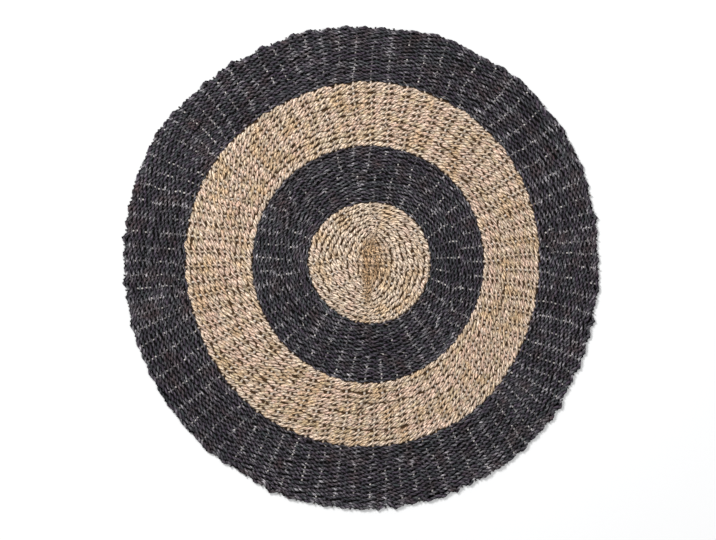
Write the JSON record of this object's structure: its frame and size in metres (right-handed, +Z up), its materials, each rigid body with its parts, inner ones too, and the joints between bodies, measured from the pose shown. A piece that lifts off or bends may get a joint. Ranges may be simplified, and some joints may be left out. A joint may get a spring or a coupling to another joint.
{
  "type": "round seagrass rug",
  "caption": "Flat round rug twined from seagrass cord in one piece, with ribbed rows in broad natural and black rings and a scalloped rim.",
  "frame": {"origin": "middle of the rim circle, on the flat underside", "axes": "+Z up through the rug's thickness, +Y towards the upper edge of the rug as the picture shows it, which is also the way its start line runs, +X to the right"},
  "size_m": [1.1911, 1.2081, 0.0135],
  "materials": {
    "natural_seagrass": "dry twisted plant fibre, undyed straw colour with pinkish and greenish strands, dull with a faint waxy sheen",
    "black_seagrass": "the same fibre dyed charcoal black, slightly glossier"
  },
  "bodies": {
    "root": {"rug": "natural_seagrass"}
  },
  "joints": []
}
